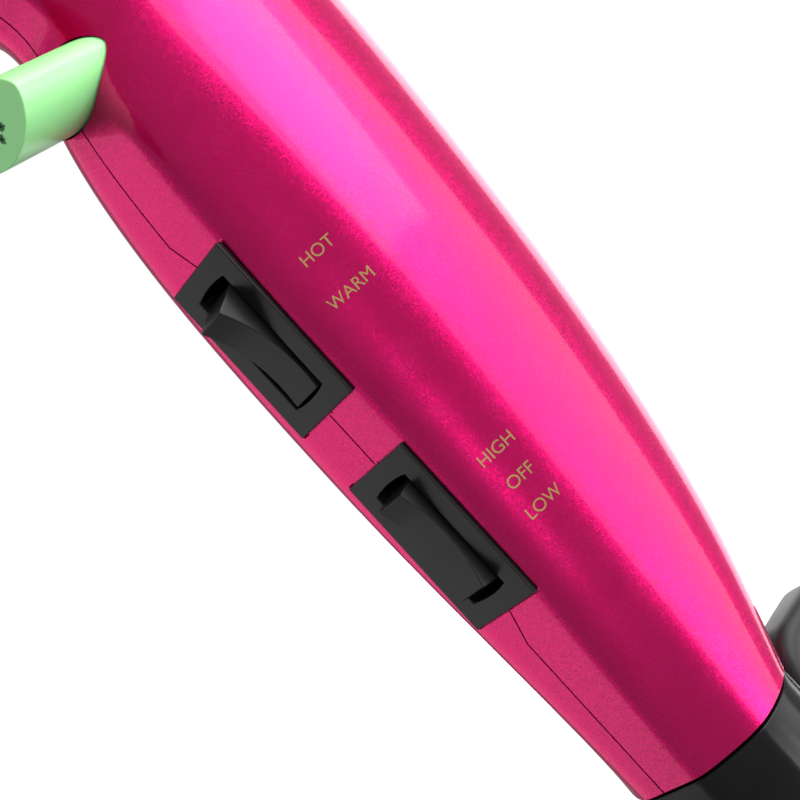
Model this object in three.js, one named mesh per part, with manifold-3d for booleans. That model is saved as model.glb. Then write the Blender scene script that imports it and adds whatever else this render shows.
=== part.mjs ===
// Hair dryer: two-shell body with a handle, cool-air button, two rocker switches,
// twist-off intake cover, push-on nozzle, and the motor, fan and heater inside.
// Millimetres. +X blows out of the nozzle, +Y is the dryer's left, +Z is up, and
// the barrel's axis is the X axis. The origin is the front face of the grille's hub.
import * as THREE from 'three';
import Module from 'manifold-3d';
import { mergeVertices } from 'three/addons/utils/BufferGeometryUtils.js';

// ---- driving dimensions ----
const WALL = 2.2;
const GAP = 0.3;
const RUN = 0.08;
const TURNED_SIDES = 40;

// barrel: outer radius along its length
const BARREL_FRONT = -14;
const BARREL_REAR = -172;
const BARREL_RADII = [[-14, 30], [-40, 31.2], [-70, 34], [-100, 36.5], [-135, 37.8], [-172, 37.5]];

// handle: the switch face stands at FACE_X, halfway between the two switches at MID_Z
const FACE_X = -95;
const MID_Z = -122;
const JOINT_DROP = 63;
const CAP_LENGTH = 25;
// height above MID_Z, setback of the face, half width of the face, half width, depth
const STATIONS = [
  [-JOINT_DROP, 0, 5, 14, 27],
  [-38, 0, 7, 15, 41],
  [-16, 0, 10, 16.5, 47],
  [5, 0, 10, 18, 50.5],
  [30, 0, 8.5, 19, 53],
  [50, -2, 7.5, 18, 54],
  [62, -4.6, 6.2, 17.3, 52.3],
  [74, -8.4, 5, 16.5, 49],
];
const WIDEST = 0.35;
const CORNER = 1.5;
const SHOULDER = 0.13;
const BACK_ROUND = 2.2;
const NECK_R = 16;
const NECK_SIDE_R = 10;

// parting line: its offset to the right, and where it jogs to the middle for the switches
const SEAM_Y = -1.75;
const JOG_TOP = [-91.3, -86.5];
const JOG_LOW = [-153.2, -158];

// rocker switches
const BEZEL = { length: 26, width: 13.7, proud: 0.6, depth: 9 };
const SLOT = { length: 20, width: 7.2, bow: 0.4 };
const SWITCH_PITCH = 35.3;
// half outline of a rocker from its pivot: [along, out], with a dished top between the peaks
const ROCKER = { width: 6.7, ridge: 5.6, pivot: 4.2, peak: [8, 7.2], shoulder: [9.1, 2.4], dish: 1.6 };
const PIN_R = 1;
const HEAT_TILT = 14;
const SWITCH_BODY = 15;

// cool-air button
const BUTTON = { width: 18, height: 9.8, z: -61.3, front: 9.6, flange: 2, travel: 3 };
const PLUNGER = { r: 2, length: 10 };

// air path
const OUTLET_R = 28;
const DUCT_R = 34.4;
const FAN_R = 30.8;
const MOTOR_R = 13.5;
const SHAFT_R = 1.15;
const HEATER_R = 26.6;
const COIL_R = 21.4;
const NOZZLE = { length: 40, width: 66, height: 12, wall: 2 };
const COVER_DEPTH = 17;

// shell screws: x and z of each
const SCREWS = [[-137, -58], [-135.5, -120], [-112, -164]];
const SCREW = { r: 1.45, head: 2.8, headHeight: 2, seat: -8.5, tip: 9 };

// ---- solids ----
const wasm = await Module();
wasm.setup();
const { Manifold, Mesh } = wasm;

function solid(geometry) {
  const bare = new THREE.BufferGeometry();
  bare.setAttribute('position', geometry.getAttribute('position'));
  if (geometry.index) bare.setIndex(geometry.index);
  const merged = mergeVertices(bare, 1e-4);
  const verts = Float32Array.from(merged.attributes.position.array);
  const tris = Uint32Array.from(merged.index.array);
  const a = new THREE.Vector3();
  const b = new THREE.Vector3();
  const c = new THREE.Vector3();
  let volume = 0;
  for (let i = 0; i < tris.length; i += 3) {
    a.fromArray(verts, tris[i] * 3);
    b.fromArray(verts, tris[i + 1] * 3);
    c.fromArray(verts, tris[i + 2] * 3);
    volume += a.dot(b.cross(c));
  }
  if (volume < 0) {
    for (let i = 0; i < tris.length; i += 3) {
      const keep = tris[i];
      tris[i] = tris[i + 1];
      tris[i + 1] = keep;
    }
  }
  return new Manifold(new Mesh({ numProp: 3, vertProperties: verts, triVerts: tris }));
}

function box(x0, x1, y0, y1, z0, z1) {
  const g = new THREE.BoxGeometry(x1 - x0, y1 - y0, z1 - z0);
  g.translate((x0 + x1) / 2, (y0 + y1) / 2, (z0 + z1) / 2);
  return solid(g);
}

// a flat outline pushed along an axis; its points are the other two axes in order
function prism(axis, outline, from, to) {
  const shape = new THREE.Shape(outline.map(([u, v]) => new THREE.Vector2(u, v)));
  const g = new THREE.ExtrudeGeometry(shape, { depth: to - from, bevelEnabled: false });
  const p = g.getAttribute('position');
  for (let i = 0; i < p.count; i++) {
    const u = p.getX(i);
    const v = p.getY(i);
    const w = p.getZ(i) + from;
    if (axis === 'x') p.setXYZ(i, w, u, v);
    if (axis === 'y') p.setXYZ(i, u, w, v);
    if (axis === 'z') p.setXYZ(i, u, v, w);
  }
  return solid(g);
}

function circle(u, v, r, n) {
  const points = [];
  for (let i = 0; i < n; i++) {
    const t = ((i + 0.5) / n) * 2 * Math.PI;
    points.push([u + r * Math.cos(t), v + r * Math.sin(t)]);
  }
  return points;
}

function rod(axis, u, v, r, from, to, n = 20) {
  return prism(axis, circle(u, v, r, n), from, to);
}

// a closed profile of [x, radius] turned about the X axis
function turned(profile, n = TURNED_SIDES) {
  const points = profile.map(([x, r]) => new THREE.Vector2(Math.max(r, 0), x));
  if (profile[0][1] > 0) points.push(points[0].clone());
  const g = new THREE.LatheGeometry(points, n);
  const p = g.getAttribute('position');
  for (let i = 0; i < p.count; i++) {
    p.setXYZ(i, p.getY(i), p.getX(i), p.getZ(i));
  }
  return solid(g);
}

function ring(x0, x1, inner, outer, n = TURNED_SIDES) {
  return turned([[x0, inner], [x1, inner], [x1, outer], [x0, outer]], n);
}

// radius of a turned bore whose flats still clear a turned shaft of radius r
function clearOf(r) {
  return r / Math.cos(Math.PI / TURNED_SIDES) + 0.04;
}

// skin over a stack of equal rings of points, closed at both ends
function loft(rings) {
  const n = rings[0].length;
  const verts = [];
  const faces = [];
  for (const points of rings) {
    for (const p of points) verts.push(p.x, p.y, p.z);
  }
  for (let k = 0; k + 1 < rings.length; k++) {
    for (let i = 0; i < n; i++) {
      const a = k * n + i;
      const b = k * n + ((i + 1) % n);
      faces.push(a, b, a + n, b, b + n, a + n);
    }
  }
  for (const k of [0, rings.length - 1]) {
    const mid = new THREE.Vector3();
    for (const p of rings[k]) mid.add(p);
    mid.divideScalar(n);
    const centre = verts.length / 3;
    verts.push(mid.x, mid.y, mid.z);
    for (let i = 0; i < n; i++) {
      const a = k * n + i;
      const b = k * n + ((i + 1) % n);
      if (k === 0) faces.push(b, a, centre);
      else faces.push(a, b, centre);
    }
  }
  const g = new THREE.BufferGeometry();
  g.setAttribute('position', new THREE.Float32BufferAttribute(verts, 3));
  g.setIndex(faces);
  return solid(g);
}

function tube(points, r, steps, sides = 6) {
  const curve = new THREE.CatmullRomCurve3(points.map((p) => new THREE.Vector3(...p)));
  return along(curve, r, steps, sides);
}

function along(curve, r, steps, sides) {
  const shape = new THREE.Shape(circle(0, 0, r, sides).map(([u, v]) => new THREE.Vector2(u, v)));
  return solid(new THREE.ExtrudeGeometry(shape, { steps, extrudePath: curve, bevelEnabled: false }));
}

class Helix extends THREE.Curve {
  constructor(x0, x1, r, turns) {
    super();
    Object.assign(this, { x0, x1, r, turns });
  }

  getPoint(t, target = new THREE.Vector3()) {
    const a = t * this.turns * 2 * Math.PI;
    const x = this.x0 + (this.x1 - this.x0) * t;
    return target.set(x, this.r * Math.cos(a), this.r * Math.sin(a));
  }
}

// smooth curve through the columns of a table, read at one place
function readTable(table, column, at) {
  const last = table.length - 1;
  let k = 0;
  while (k < last - 1 && at > table[k + 1][0]) k++;
  const slope = (i) => {
    const a = table[Math.max(i - 1, 0)];
    const b = table[Math.min(i + 1, last)];
    return (b[column] - a[column]) / (b[0] - a[0]);
  };
  const [p, q] = [table[k], table[k + 1]];
  const span = q[0] - p[0];
  const t = Math.min(Math.max((at - p[0]) / span, 0), 1);
  const h = t * t * (3 - 2 * t);
  const m0 = slope(k) * span * t * (1 - t) * (1 - t);
  const m1 = slope(k + 1) * span * t * t * (t - 1);
  return p[column] + (q[column] - p[column]) * h + m0 + m1;
}

const radiusTable = [...BARREL_RADII].reverse();
const barrelR = (x) => readTable(radiusTable, 1, x);

// how far a fillet of radius r, starting at height z0, has swept out at height z
function flare(r, z0, z, inset) {
  const dz = Math.min(Math.max(z - z0, 0), r * 0.99);
  return r - Math.sqrt((r + inset) ** 2 - dz * dz);
}

// one level of the handle, drawn inset from its outer surface
function handleLevel(z, inset, points = 28) {
  const h = z - MID_Z;
  const setback = readTable(STATIONS, 1, h);
  const neckZ = -barrelR(FACE_X - 20) - NECK_R;
  const sideZ = -39;
  const end = flare(NECK_R, neckZ, z, inset);
  const side = flare(NECK_SIDE_R, sideZ, Math.min(z, -31), inset);
  const face = Math.max(readTable(STATIONS, 2, h) + side * 0.5, 2.5);
  const wide = readTable(STATIONS, 3, h) + side;
  const depth = readTable(STATIONS, 4, h) + 2 * end;
  const x0 = FACE_X + setback + end;
  const xm = WIDEST * depth;
  const bend = new THREE.CubicBezierCurve(
    new THREE.Vector2(0, face),
    new THREE.Vector2(0, face + CORNER),
    new THREE.Vector2(-xm + SHOULDER * depth, wide),
    new THREE.Vector2(-xm, wide),
  );
  const half = [];
  const quarter = Math.round(points / 4);
  for (let i = 0; i <= quarter; i++) {
    const p = bend.getPoint(i / quarter);
    half.push([p.x, p.y]);
  }
  for (let i = 1; i < quarter; i++) {
    const t = (i / quarter) * (Math.PI / 2);
    const e = 2 / BACK_ROUND;
    half.push([-xm - (depth - xm) * Math.sin(t) ** e, wide * Math.cos(t) ** e]);
  }
  const loop = half.map(([x, y]) => new THREE.Vector3(x0 + x, y, z));
  loop.push(new THREE.Vector3(x0 - depth, 0, z));
  for (const [x, y] of half.reverse()) loop.push(new THREE.Vector3(x0 + x, -y, z));
  return loop;
}

function handleSolid(zs, inset) {
  return loft(zs.map((z) => handleLevel(z, inset)));
}

function barrelProfile(inset, x0, x1) {
  const steps = 5;
  const profile = [[x0, 0]];
  for (let i = 0; i <= steps; i++) {
    const x = x0 + ((x1 - x0) * i) / steps;
    profile.push([x, barrelR(x) - inset]);
  }
  profile.push([x1, 0]);
  return profile;
}

// ---- pieces ----
const group = new THREE.Group();

function piece(name, shape, color, roughness, metalness = 0) {
  const out = shape.getMesh();
  const g = new THREE.BufferGeometry();
  g.setAttribute('position', new THREE.Float32BufferAttribute(out.vertProperties, 3));
  g.setIndex(new THREE.Uint32BufferAttribute(out.triVerts, 1));
  const mesh = new THREE.Mesh(g, new THREE.MeshStandardMaterial({ color, roughness, metalness }));
  mesh.name = name;
  group.add(mesh);
}

const PINK = 0xd81b84;
const BLACK = 0x141416;
const GREEN = 0x9fe8a4;
const STEEL = 0xb9bcc0;
const BRASS = 0xc9a24a;
const MICA = 0xb8a988;

const switchZ = [MID_Z + SWITCH_PITCH / 2, MID_Z - SWITCH_PITCH / 2];
const jointZ = MID_Z - JOINT_DROP;
const capZ = jointZ - CAP_LENGTH;

// body shells: handle and barrel as one hollow skin, then parted along the seam
const outerLevels = [jointZ, -173, -160, -144, -126, -108, -92, -76, -63, -52.5];
const neckLevels = [-46, -41.5, -38.5, -36.8, -33, -20];
const outerSkin = handleSolid([...outerLevels, ...neckLevels], 0);
const innerSkin = handleSolid([jointZ - 1, ...outerLevels.slice(1), ...neckLevels], WALL);
const barrelOuter = turned(barrelProfile(0, BARREL_REAR, BARREL_FRONT));
const barrelInner = turned(barrelProfile(WALL, BARREL_REAR - 1, BARREL_FRONT + 1));
let skin = outerSkin.add(barrelOuter).subtract(innerSkin.add(barrelInner));

const filled = outerSkin.subtract(barrelInner);
for (const [x, z] of SCREWS) {
  const boss = rod('y', x, z, 4, -30, 30, 12).intersect(filled);
  skin = skin.add(boss);
}
for (const z of switchZ) {
  const [hl, hw] = [BEZEL.length / 2 + 0.25, BEZEL.width / 2 + 0.25];
  skin = skin.subtract(box(FACE_X - 0.6, FACE_X + 3, -hw, hw, z - hl, z + hl));
  skin = skin.subtract(box(FACE_X - 8, FACE_X + 1, -5.9, 5.9, z - 11.9, z + 11.9));
}

// outline of the cool-air button, between an oval and a lens, grown by a margin
function buttonOutline(grow, n = 22) {
  const points = [];
  for (let i = 0; i < n; i++) {
    const t = ((i + 0.5) / n) * 2 * Math.PI;
    const y = Math.cos(t);
    const z = Math.sign(Math.sin(t)) * Math.abs(Math.sin(t)) ** 1.2;
    points.push([y * (BUTTON.width / 2 + grow), BUTTON.z + z * (BUTTON.height / 2 + grow)]);
  }
  return points;
}
skin = skin.subtract(prism('x', buttonOutline(GAP), FACE_X - 18, FACE_X + 20));

for (const [x, z] of SCREWS) {
  skin = skin.subtract(rod('y', x, z, SCREW.r + 0.25, SCREW.seat - 1, -1, 10));
  skin = skin.subtract(rod('y', x, z, SCREW.head + GAP, -40, SCREW.seat, 12));
  skin = skin.subtract(rod('y', x, z, SCREW.r + 0.08, -2, SCREW.tip + 1, 10));
}

function seamSide(shift) {
  const y = SEAM_Y + shift;
  return [
    [y, 60], [y, JOG_TOP[1]], [shift, JOG_TOP[0]], [shift, JOG_LOW[0]], [y, JOG_LOW[1]], [y, -230],
  ];
}
const leftSide = prism('x', [...seamSide(0.1), [60, -230], [60, 60]], -220, 40);
const rightSide = prism('x', [...seamSide(-0.1), [-60, -230], [-60, 60]], -220, 40);
piece('left_shell', skin.intersect(leftSide), PINK, 0.3, 0.4);
piece('right_shell', skin.intersect(rightSide), PINK, 0.3, 0.4);

// collar at the foot of the handle, spigot up into the shells, hole for the inlet bush
const footLevels = [capZ, capZ + 3, capZ + 12, jointZ - GAP];
const footInset = [3, 1, 0.4, 0.4];
const footLoft = loft(footLevels.map((z, i) => {
  return handleLevel(jointZ, footInset[i]).map((p) => new THREE.Vector3(p.x, p.y, z));
}));
const atFoot = (z, inset) => handleLevel(jointZ, inset).map((p) => new THREE.Vector3(p.x, p.y, z));
const spigotTop = jointZ + 7;
const spigot = loft([jointZ - 2, spigotTop].map((z) => atFoot(z, WALL + 0.6)));
const footHollow = loft([capZ + 4, spigotTop + 1].map((z) => atFoot(z, WALL + 2.4)));
const inletX = FACE_X - 13.5;
const loopZ = capZ + 16;
const backX = FACE_X - 27;
let foot = footLoft.add(spigot).subtract(footHollow);
foot = foot.subtract(rod('z', inletX, 0, 5.2, capZ - 1, capZ + 5, 24));
foot = foot.subtract(box(backX - 2, backX + 8, -4.3, 4.3, loopZ - 2.3, loopZ + 2.3));
piece('end_cap', foot, BLACK, 0.2);

const bush = rod('z', inletX, 0, 5, capZ - 3, capZ + 6, 24)
  .add(rod('z', inletX, 0, 7, capZ - 3, capZ - GAP, 24))
  .add(rod('z', inletX, 0, 6.4, capZ + 4 + GAP, capZ + 6, 24))
  .subtract(rod('z', inletX, 0, 3.4, capZ - 4, capZ + 7, 20));
piece('inlet_bush', bush, BLACK, 0.6);

// hanging loop: an oval rubber ring with a stem held in the collar's back
const loopLength = 26;
const loopHeight = 18;
const oval = (grow) => {
  const points = [];
  const straight = (loopLength - loopHeight) / 2;
  for (const s of [1, -1]) {
    for (let i = 0; i <= 10; i++) {
      const t = -Math.PI / 2 + (Math.PI * i) / 10;
      const r = loopHeight / 2 + grow;
      points.push([s * (straight + r * Math.cos(t)), s * r * Math.sin(t)]);
    }
  }
  return points;
};
const loopX = backX - loopLength / 2 - 1.2;
const moved = (points) => points.map(([x, z]) => [x + loopX, z + loopZ]);
let hangLoop = prism('y', moved(oval(0)), -4, 4).subtract(prism('y', moved(oval(-5)), -5, 5));
hangLoop = hangLoop.add(box(backX - 2, backX + 3.4, -4, 4, loopZ - 2, loopZ + 2));
hangLoop = hangLoop.add(box(backX + 3.2, backX + 5, -4, 4, loopZ - 2, loopZ + 2));
piece('hang_loop', hangLoop, BLACK, 0.8);

// rocker switches
const switches = [
  { name: 'heat', z: switchZ[0], tilt: HEAT_TILT },
  { name: 'speed', z: switchZ[1], tilt: 0 },
];
for (const s of switches) {
  const pivotX = FACE_X - ROCKER.pivot;
  const [hl, hw] = [BEZEL.length / 2, BEZEL.width / 2];
  const [sl, sw] = [SLOT.length / 2, SLOT.width / 2];
  const slot = prism('x', slotOutline(sl, sw, s.z), FACE_X - BEZEL.depth - 1, FACE_X + 3);
  const frame = box(FACE_X - 0.3, FACE_X + BEZEL.proud, -hw, hw, s.z - hl, s.z + hl)
    .add(box(FACE_X - BEZEL.depth, FACE_X, -5.5, 5.5, s.z - 11.5, s.z + 11.5))
    .subtract(slot)
    .subtract(rod('y', pivotX, s.z, PIN_R + 0.05, -8, 8, 16));
  piece(`${s.name}_bezel`, frame, BLACK, 0.45);

  const wide = ROCKER.width / 2;
  const blank = prism('y', rockerOutline(), -wide, wide)
    .intersect(prism('z', rockerSection(), -11, 11))
    .subtract(rod('y', 0, 0, PIN_R + RUN, -9, 9, 16));
  const turn = blank.rotate([0, s.tilt, 0]);
  piece(`${s.name}_rocker`, turn.translate([pivotX, 0, s.z]), BLACK, 0.4);
  piece(`${s.name}_pin`, rod('y', pivotX, s.z, PIN_R, -5.4, 5.4, 16), STEEL, 0.3, 1);

  const bodyX = FACE_X - BEZEL.depth - GAP;
  const body = box(bodyX - SWITCH_BODY, bodyX, -5.4, 5.4, s.z - 11.4, s.z + 11.4);
  piece(`${s.name}_switch`, body, 0x2a2a2e, 0.5);
  for (let i = 0; i < 3; i++) {
    const z = s.z + (i - 1) * 7;
    const x = bodyX - SWITCH_BODY - 0.05;
    piece(`${s.name}_tab_${i + 1}`, box(x - 6, x, -2.4, 2.4, z - 0.4, z + 0.4), BRASS, 0.3, 1);
  }
}

// side view of a rocker about its pivot, as [x, z]
function rockerOutline() {
  const [peak, rise] = ROCKER.peak;
  const [reach, low] = ROCKER.shoulder;
  const points = [[-3.2, -6.5], [-3.2, 6.5], [-1, reach], [low, reach]];
  for (let i = 0; i <= 8; i++) {
    const z = peak * (1 - i / 4);
    points.push([rise - ROCKER.dish * (1 - (z / peak) ** 2), z]);
  }
  points.push([low, -reach], [-1, -reach]);
  return points;
}

// end view of a rocker, as [x, y], with the top edges sloped in
function rockerSection() {
  const wide = ROCKER.width / 2;
  const ridge = ROCKER.ridge / 2;
  const top = ROCKER.peak[1] + 0.1;
  return [[-5, -wide], [ROCKER.pivot, -wide], [top, -ridge], [top, ridge], [ROCKER.pivot, wide], [-5, wide]];
}

// slot with gently bowed ends
function slotOutline(half, wide, z) {
  const points = [];
  for (const s of [1, -1]) {
    for (let i = 0; i <= 4; i++) {
      const y = s * wide * (1 - i / 2);
      points.push([y, z + s * (half - SLOT.bow * (y / wide) ** 2)]);
    }
  }
  return points;
}

// cool-air button, and the sprung push switch behind it
const buttonIn = FACE_X - 12;
const flangeHalf = [BUTTON.width / 2 - 2.2, BUTTON.height / 2 + 1.2];
const button = prism('x', buttonOutline(0), buttonIn, FACE_X + BUTTON.front)
  .add(box(buttonIn - BUTTON.flange, buttonIn + 0.1, -flangeHalf[0], flangeHalf[0],
    BUTTON.z - flangeHalf[1], BUTTON.z + flangeHalf[1]));
piece('cool_button', button, GREEN, 0.35);
const plungerX = buttonIn - BUTTON.flange - GAP;
const plunger = rod('x', 0, BUTTON.z, PLUNGER.r, plungerX - PLUNGER.length, plungerX, 20);
piece('cool_plunger', plunger, 0xd8d4c8, 0.5);
const coolX = plungerX - BUTTON.travel - 1.2;
const coolSwitch = box(coolX - 13.6, coolX, -6.4, 6.4, BUTTON.z - 5, BUTTON.z + 5)
  .subtract(rod('x', 0, BUTTON.z, PLUNGER.r + RUN, plungerX - PLUNGER.length - 3.6, coolX + 1, 20));
piece('cool_switch', coolSwitch, 0x2a2a2e, 0.5);

// outlet: stepped ring in the barrel's mouth, grille inside it
const mouth = barrelR(BARREL_FRONT) - WALL - GAP;
const outletBore = OUTLET_R - 2.5;
const outlet = turned([
  [-26, outletBore], [-1, outletBore], [0, OUTLET_R - 1.2], [0, OUTLET_R], [BARREL_FRONT + GAP, OUTLET_R],
  [BARREL_FRONT + GAP, mouth], [-26, mouth],
]);
piece('outlet_ring', outlet, BLACK, 0.3);
const grilleR = outletBore - GAP;
let grille = ring(-4, -1, grilleR - 1.6, grilleR, 32).add(ring(-3.6, -1.4, 14, 15.4, 24));
grille = grille.add(rod('x', 0, 0, 6, -4, 0, 24));
for (let i = 0; i < 8; i++) {
  const arm = box(-3.6, -1.4, 5, grilleR - 0.8, -0.7, 0.7);
  grille = grille.add(arm.rotate([i * 45, 0, 0]));
}
piece('outlet_grille', grille, BLACK, 0.4);

// push-on nozzle: round collar over the outlet ring, narrowing to a wide flat slot
function nozzleLevel(x, w, h, power, n = TURNED_SIDES) {
  const points = [];
  for (let i = 0; i < n; i++) {
    const t = (i / n) * 2 * Math.PI;
    const c = Math.cos(t);
    const s = Math.sin(t);
    const y = w * Math.sign(c) * Math.abs(c) ** (2 / power);
    const z = h * Math.sign(s) * Math.abs(s) ** (2 / power);
    points.push(new THREE.Vector3(x, y, z));
  }
  return points;
}
const collarR = clearOf(OUTLET_R) + NOZZLE.wall;
const tip = [NOZZLE.width / 2, NOZZLE.height / 2];
function nozzleTaper(inset, from, to) {
  return [0, 0.3, 0.55, 0.8, 1].map((t) => {
    const ease = t * t * (3 - 2 * t);
    const w = collarR + (tip[0] - collarR) * ease;
    const h = collarR + (tip[1] - collarR) * ease;
    return nozzleLevel(from + (to - from) * t, w - inset, h - inset, 2 + 1.6 * ease);
  });
}
const bore = clearOf(OUTLET_R);
const nozzleFrom = BARREL_FRONT + 3;
const nozzleOuter = loft([nozzleLevel(nozzleFrom, collarR, collarR, 2), ...nozzleTaper(0, 3, NOZZLE.length)]);
const nozzleInner = loft([
  nozzleLevel(nozzleFrom - 1, bore, bore, 2),
  nozzleLevel(0.6, bore, bore, 2),
  nozzleLevel(0.61, bore - 3, bore - 3, 2),
  ...nozzleTaper(NOZZLE.wall, 3, NOZZLE.length + 0.1),
]);
piece('concentrator', nozzleOuter.subtract(nozzleInner), BLACK, 0.35);

// intake: fixed guard with a collar, and the cover that twists off it with its filter
const guardR = barrelR(BARREL_REAR) - WALL - GAP;
let guard = ring(-182, -166, guardR - 1.8, guardR).add(ring(-171, -169, 20, 21.4, 24));
guard = guard.add(rod('x', 0, 0, 7, -171, -169, 20));
for (let i = 0; i < 6; i++) {
  guard = guard.add(box(-171, -169, 6, guardR - 1, -0.8, 0.8).rotate([i * 60, 0, 0]));
}
piece('intake_guard', guard, BLACK, 0.5);
const coverX = BARREL_REAR - GAP;
const rearX = coverX - COVER_DEPTH;
const coverOut = barrelR(BARREL_REAR);
let cover = turned([
  [coverX, clearOf(guardR)], [coverX, coverOut], [rearX + 6, coverOut - 1], [rearX + 2, coverOut - 3.4],
  [rearX, coverOut - 8], [rearX, 0], [rearX + 2.2, 0], [rearX + 2.2, coverOut - 9],
  [rearX + 4.4, clearOf(guardR)],
]);
for (let i = 0; i < 12; i++) {
  cover = cover.subtract(box(rearX - 1, rearX + 3, 11, 27, -1.6, 1.6).rotate([i * 30, 0, 0]));
}
piece('intake_cover', cover, BLACK, 0.35);
piece('filter_screen', rod('x', 0, 0, coverOut - 10, rearX + 2.5, rearX + 3.1, 40), STEEL, 0.5, 0.8);

// fan duct with vanes that carry the motor cup
let duct = ring(-165, -113, DUCT_R - 2, DUCT_R).add(ring(-150, -121, MOTOR_R + GAP, MOTOR_R + 2.2, 24));
for (let i = 0; i < 7; i++) {
  const vane = box(-146, -124, MOTOR_R + 1.5, DUCT_R - 1, -0.7, 0.7);
  duct = duct.add(vane.rotate([(i * 360) / 7 + 12, 0, 0]));
}
piece('fan_duct', duct, 0x2c2c30, 0.6);

// motor: can, end bell, two bushes, then the spinning shaft and fan
const can = rod('x', 0, 0, MOTOR_R, -149, -122, 24)
  .subtract(rod('x', 0, 0, MOTOR_R - 1.2, -146.5, -121, 24))
  .subtract(rod('x', 0, 0, 3.1, -150, -146, 16));
piece('motor_can', can, STEEL, 0.35, 1);
const magnets = ring(-145, -124, 9.6, MOTOR_R - 1.5, 24);
piece('motor_magnet', magnets, 0x3a3a3c, 0.8);
const bell = rod('x', 0, 0, MOTOR_R, -121.7, -118.5, 24).subtract(rod('x', 0, 0, 3.1, -123, -117, 16));
piece('motor_bell', bell, 0xe8e4d8, 0.6);
const bushes = [['rear', -149, -146.3], ['front', -121.7, -118.5]];
for (const [where, from, to] of bushes) {
  const b = rod('x', 0, 0, 3, from, to, 16).subtract(rod('x', 0, 0, SHAFT_R + 0.06, from - 1, to + 1, 16));
  piece(`motor_bush_${where}`, b, BRASS, 0.4, 1);
}
piece('motor_shaft', rod('x', 0, 0, SHAFT_R, -163, -117.6, 16), STEEL, 0.25, 1);
const core = rod('x', 0, 0, 9.2, -144, -126, 20).subtract(rod('x', 0, 0, SHAFT_R + 0.05, -150, -120, 16));
piece('armature', core, 0xa8652e, 0.5, 0.6);
let fan = rod('x', 0, 0, 11, -163, -152, 20);
for (let i = 0; i < 7; i++) {
  const levels = [9.5, 20, FAN_R].map((r, k) => {
    const pitch = THREE.MathUtils.degToRad(50 - k * 11);
    const chord = 9 + k * 2;
    const along2 = new THREE.Vector2(Math.cos(pitch), Math.sin(pitch)).multiplyScalar(chord / 2);
    const thick = new THREE.Vector2(-Math.sin(pitch), Math.cos(pitch)).multiplyScalar(0.6);
    const corner = (s, t) => {
      return new THREE.Vector3(-157.5 + s * along2.x + t * thick.x, s * along2.y + t * thick.y, r);
    };
    return [corner(-1, -1), corner(1, -1), corner(1, 1), corner(-1, 1)];
  });
  fan = fan.add(loft(levels).rotate([(i * 360) / 7, 0, 0]));
}
fan = fan.subtract(rod('x', 0, 0, SHAFT_R + 0.05, -170, -150, 16));
piece('fan', fan, 0x3c3c40, 0.5);
const board = rod('x', 0, 0, 11.5, -116, -114.6, 20).subtract(rod('x', 0, 0, 3, -118, -112, 16));
piece('rectifier_board', board, 0x2f6b3c, 0.5);

// heater: mica tube, crossed boards, two windings, thermostat and fuse
piece('heater_tube', ring(-108, -27, HEATER_R - 0.6, HEATER_R, 32), MICA, 0.6);
function crossBoard(slotSide) {
  const half = COIL_R - 2.1;
  let b = box(-106, -30, -half, half, -0.5, 0.5);
  for (const [from, to] of [[-106, -101], [-35, -30]]) {
    b = b.add(box(from, to, -HEATER_R + 1.1, HEATER_R - 1.1, -0.5, 0.5));
  }
  const slot = slotSide > 0 ? box(-68.2, -20, -0.8, 0.8, -2, 2) : box(-120, -67.8, -0.8, 0.8, -2, 2);
  return b.subtract(slot);
}
piece('heater_board_flat', crossBoard(1), MICA, 0.6);
piece('heater_board_upright', crossBoard(-1).rotate([90, 0, 0]), MICA, 0.6);
const WIRE = 0x9a9288;
piece('heater_coil_rear', along(new Helix(-98, -62, COIL_R, 6), 0.7, 60, 4), WIRE, 0.4, 1);
piece('heater_coil_front', along(new Helix(-58, -42, COIL_R, 3), 0.7, 30, 4), WIRE, 0.4, 1);
const thermostat = box(-52, -40, 6, 14, 0.8, 3).add(rod('z', -46, 10, 3.6, 2.8, 5.4, 20));
piece('thermostat', thermostat, STEEL, 0.4, 1);
piece('thermal_fuse', rod('x', -10, 3, 1.8, -54, -42, 12), 0xd9d4c6, 0.5);

// wires, each held against the handle's wall on its way up from the inlet bush
const wires = [
  ['wire_live', [[inletX, 1.4, capZ + 8], [inletX - 2, 3, jointZ], [-118, 4, -172], [-127, 7, -158],
    [-129, 6, -146], [-126.6, 1, -139.7]], 0x5a3a22],
  ['wire_neutral', [[inletX, -1.4, capZ + 8], [inletX - 2, -3, jointZ], [-116, -6, -172], [-121, -10, -150],
    [-121, -12, -110], [-121, -12, -76], [-118, -9, -50], [-110.4, -6, -32], [-110.4, -4, -14]], 0x2b4d8c],
  ['wire_motor', [[-126.6, 0.2, -132.7], [-130, 5, -126], [-129, 11, -108], [-124, 12, -80],
    [-118, 10, -50], [-111, 8, -34], [-110.4, 7, -14], [-112.6, 6, -5]], 0xb03020],
  ['wire_heat', [[-126.6, 0.2, -97.3], [-130, 3, -90], [-130.5, 4, -72], [-130, 4, -54], [-111, 2, -33],
    [-110.4, 2, -22]], 0x202022],
];
for (const [name, points, color] of wires) piece(name, tube(points, 1, 20, 5), color, 0.6);

// screws from the right side into the left shell's posts
SCREWS.forEach(([x, z], i) => {
  const screw = rod('y', x, z, SCREW.r, SCREW.seat - 0.1, SCREW.tip, 10)
    .add(rod('y', x, z, SCREW.head, SCREW.seat - SCREW.headHeight, SCREW.seat - 0.05, 12))
    .subtract(box(x - 2, x + 2, SCREW.seat - 4, SCREW.seat - 1, z - 0.35, z + 0.35))
    .subtract(box(x - 0.35, x + 0.35, SCREW.seat - 4, SCREW.seat - 1, z - 2, z + 2));
  piece(`shell_screw_${i + 1}`, screw, STEEL, 0.35, 1);
});

export default group;
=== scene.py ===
import math
import bmesh
import bpy
from mathutils import Matrix, Vector


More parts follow.
